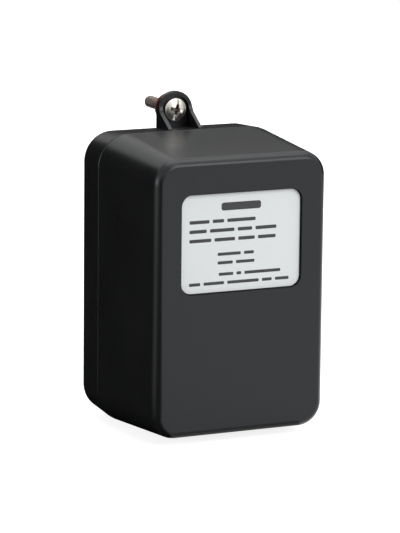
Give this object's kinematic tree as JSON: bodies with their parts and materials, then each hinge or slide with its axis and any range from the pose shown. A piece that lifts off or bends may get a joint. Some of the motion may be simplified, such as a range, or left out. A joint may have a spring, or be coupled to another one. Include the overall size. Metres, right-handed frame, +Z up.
{
  "type": "alarm panel transformer",
  "caption": "Plug-in wall transformer in a black moulded case, with mains blades behind, a captive mounting screw in an ear on top and screw terminals in bays underneath.",
  "frame": {"origin": "on the wall plane, midway between the mains blades", "axes": "+Z up along the wall, +Y into the wall along the blades, the label faces -Y"},
  "size_m": [0.0564, 0.0644, 0.0922],
  "materials": {
    "case_plastic": "black moulded plastic with a fine satin grain",
    "label_film": "satin silver film",
    "screw_plating": "bright nickel plate",
    "red_fibre": "dull red vulcanised fibre",
    "blade_plating": "satin nickel plate over brass",
    "core_steel": "varnished laminations",
    "bobbin_nylon": "natural nylon",
    "pin_plating": "tinned",
    "winding_copper": "enamelled copper",
    "coil_tape": "yellow polyester tape",
    "fuse_can": "plated can with a resin nose",
    "lead_pvc": "black flexible insulation",
    "terminal_brass": "plain brass",
    "clamp_steel": "zinc plate"
  },
  "bodies": {
    "case": {"front_cover": "case_plastic", "rear_base": "case_plastic", "rating_label": "label_film", "blade_left": "blade_plating", "blade_right": "blade_plating", "core_e_stack": "core_steel", "core_i_stack": "core_steel", "bobbin": "bobbin_nylon", "bobbin_pins": "pin_plating", "primary_winding": "winding_copper", "secondary_winding": "winding_copper", "primary_tape": "coil_tape", "secondary_tape": "coil_tape", "thermal_fuse": "fuse_can", "fuse_lead": "lead_pvc", "primary_lead": "lead_pvc", "secondary_lead_left": "lead_pvc", "secondary_lead_right": "lead_pvc", "terminal_plate_left": "terminal_brass", "terminal_plate_right": "terminal_brass"},
    "wall_washer": {"screw_washer": "red_fibre"},
    "wall_screw": {"mounting_screw": "screw_plating"},
    "clamp_left": {"clamp_washer_left": "clamp_steel"},
    "clamp_right": {"clamp_washer_right": "clamp_steel"},
    "terminal_left": {"terminal_screw_left": "screw_plating"},
    "terminal_right": {"terminal_screw_right": "screw_plating"}
  },
  "joints": [
    {"name": "wall_screw_slide", "type": "slide", "parent": "case", "child": "wall_washer", "axis": [0, -1, 0], "range_m": [0, 0.0024]},
    {"name": "wall_screw_turn", "type": "hinge", "parent": "wall_washer", "child": "wall_screw", "pos_m": [0, 0, 0.01524], "axis": [0, 1, 0], "continuous": true},
    {"name": "clamp_left_slide", "type": "slide", "parent": "case", "child": "clamp_left", "axis": [0, 0, -1], "range_m": [0, 0.00238]},
    {"name": "terminal_left_turn", "type": "hinge", "parent": "clamp_left", "child": "terminal_left", "pos_m": [-0.0066, -0.0069, -0.06386], "axis": [0, 0, -1], "range_deg": [0, 1080]},
    {"name": "clamp_right_slide", "type": "slide", "parent": "case", "child": "clamp_right", "axis": [0, 0, -1], "range_m": [0, 0.00238]},
    {"name": "terminal_right_turn", "type": "hinge", "parent": "clamp_right", "child": "terminal_right", "pos_m": [0.0066, -0.0069, -0.06386], "axis": [0, 0, -1], "range_deg": [0, 1080]}
  ],
  "couplings": [
    {"joint": "terminal_left_turn", "follows": "clamp_left_slide", "rad_per_m": 7915.8},
    {"joint": "terminal_right_turn", "follows": "clamp_right_slide", "rad_per_m": 7915.8}
  ]
}
